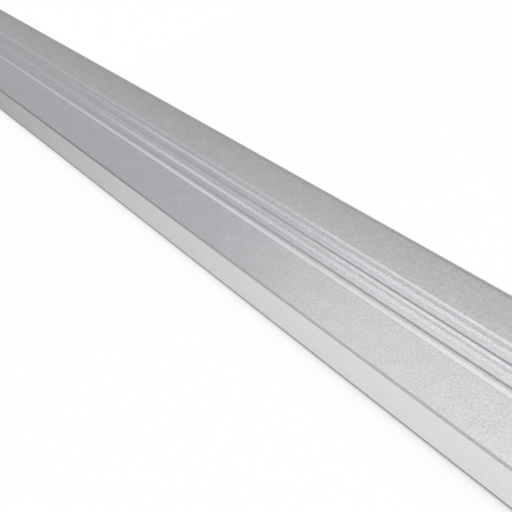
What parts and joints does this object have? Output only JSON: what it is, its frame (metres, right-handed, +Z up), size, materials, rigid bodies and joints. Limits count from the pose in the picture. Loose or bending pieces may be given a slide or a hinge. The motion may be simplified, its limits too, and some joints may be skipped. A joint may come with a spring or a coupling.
{
  "type": "aluminium floor end trim",
  "caption": "Straight stick of extruded aluminium floor trim: ribbed top flange, square front face and an anchor flange, with a slot between them for a floor board's edge.",
  "frame": {"origin": "on the floor under the middle of the stick: centre of its length and of its overall width, at the underside of the anchor flange", "axes": "+X along the stick, -Y out of the front face, +Z up out of the ribbed top face"},
  "size_m": [0.9144, 0.0382, 0.0083],
  "materials": {
    "satin_aluminium": "satin silver with a fine matte grain on the level faces, smoother on the rib walls and the front face"
  },
  "bodies": {
    "root": {"end_trim": "satin_aluminium"}
  },
  "joints": []
}
